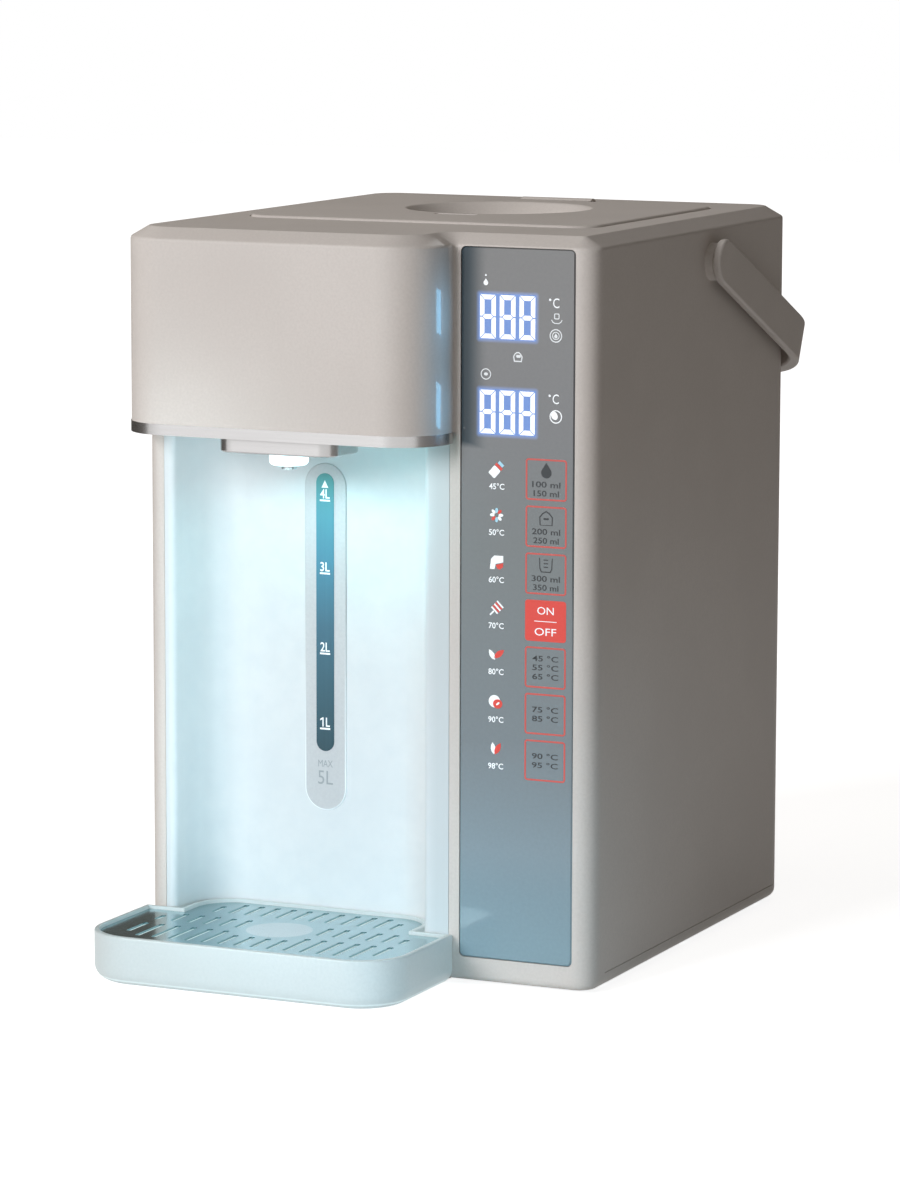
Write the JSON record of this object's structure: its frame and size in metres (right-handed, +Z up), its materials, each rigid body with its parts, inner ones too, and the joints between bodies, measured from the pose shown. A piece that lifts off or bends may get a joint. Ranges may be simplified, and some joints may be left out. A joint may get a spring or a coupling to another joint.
{
  "type": "electric thermo pot",
  "caption": "Tall boxy hot-water dispenser with an overhanging spout head, lit cup bay, drip tray, level window, touch-glass strip, hinged top lid and swinging carry handle",
  "frame": {"origin": "On the table, under the middle of the whole footprint, with the drip tray and the handle at rest included", "axes": "+X is the pot's right as it is faced, -Y is the front with the cup bay, +Z is up"},
  "size_m": [0.241, 0.3336, 0.3416],
  "materials": {
    "housing_plastic": "fine matt moulded",
    "bay_white": "gloss moulded",
    "tray_white": "satin moulded",
    "frosted_window": "frosted",
    "window_lens": "smoked clear",
    "light_lens": "frosted, lit",
    "silver_trim": "satin anodised",
    "stainless_steel": "brushed",
    "grille_steel": "polished sheet",
    "circuit_board": "solder mask",
    "control_glass": "back-printed tempered",
    "display_black": "moulded",
    "silicone": "translucent",
    "inner_plastic": "moulded",
    "vent_plastic": "moulded",
    "heater_aluminium": "cast",
    "sensor_metal": "pressed",
    "cradle_steel": "galvanised",
    "pump_plastic": "moulded",
    "motor_steel": "zinc plated",
    "black_rubber": "moulded",
    "clear_glass": "drawn tube",
    "base_plastic": "moulded",
    "screw_steel": "zinc plated",
    "inlet_black": "moulded",
    "brass_contacts": "stamped",
    "post_nylon": "moulded",
    "component_black": "moulded"
  },
  "bodies": {
    "pot": {"housing_shell": "housing_plastic", "handle_hub_right": "housing_plastic", "handle_hub_left": "housing_plastic", "bay_panel": "bay_white", "head_floor_plate": "bay_white", "level_window_bezel": "frosted_window", "level_window_lens": "window_lens", "light_lens": "light_lens", "head_trim_band": "silver_trim", "nozzle_block": "silver_trim", "outlet_nozzle": "stainless_steel", "water_tank": "stainless_steel", "lid_hinge_pin": "stainless_steel", "handle_pivot_pins": "stainless_steel", "bay_light_board": "circuit_board", "touch_board": "circuit_board", "power_board": "circuit_board", "control_glass": "control_glass", "display_upper": "display_black", "display_lower": "display_black", "tank_gasket": "silicone", "suction_hose": "silicone", "lower_delivery_hose": "silicone", "upper_delivery_hose": "silicone", "tank_collar": "inner_plastic", "heater_plate": "heater_aluminium", "thermostats": "sensor_metal", "temperature_sensor": "sensor_metal", "tank_cradle": "cradle_steel", "pump_casing": "pump_plastic", "motor_can": "motor_steel", "motor_pad": "black_rubber", "level_riser_tube": "clear_glass", "base_plate": "base_plastic", "rubber_feet": "black_rubber", "base_screws": "screw_steel", "inlet_socket": "inlet_black", "inlet_pins": "brass_contacts", "board_posts": "post_nylon", "board_parts": "component_black"},
    "lid": {"lid_cover": "housing_plastic", "steam_vent_insert": "vent_plastic", "lid_inner_plate": "inner_plastic", "lid_seal": "silicone"},
    "handle": {"carry_handle": "housing_plastic"},
    "tray": {"drip_tray": "tray_white"},
    "grille": {"tray_grille": "grille_steel"},
    "rotor": {"motor_rotor": "motor_steel"},
    "impeller": {"pump_impeller": "pump_plastic"}
  },
  "joints": [
    {"name": "handle_swing", "type": "hinge", "parent": "pot", "child": "handle", "pos_m": [0, 0.041, 0.32], "axis": [1, 0, 0], "range_deg": [0, 189]},
    {"name": "lid_hinge", "type": "hinge", "parent": "pot", "child": "lid", "pos_m": [0, 0.1217, 0.337], "axis": [-1, 0, 0], "range_deg": [0, 95]},
    {"name": "tray_slide", "type": "slide", "parent": "pot", "child": "tray", "axis": [0, -1, 0], "range_m": [0, 0.1]},
    {"name": "grille_lift", "type": "slide", "parent": "tray", "child": "grille", "axis": [0, 0, 1], "range_m": [0, 0.04]},
    {"name": "motor_spin", "type": "hinge", "parent": "pot", "child": "rotor", "pos_m": [0.01, -0.0353, 0.02], "axis": [0, 0, 1], "continuous": true},
    {"name": "impeller_spin", "type": "hinge", "parent": "pot", "child": "impeller", "pos_m": [0.01, -0.0353, 0.044], "axis": [0, 0, 1], "continuous": true}
  ],
  "couplings": [
    {"joint": "impeller_spin", "follows": "motor_spin", "ratio": 1}
  ]
}
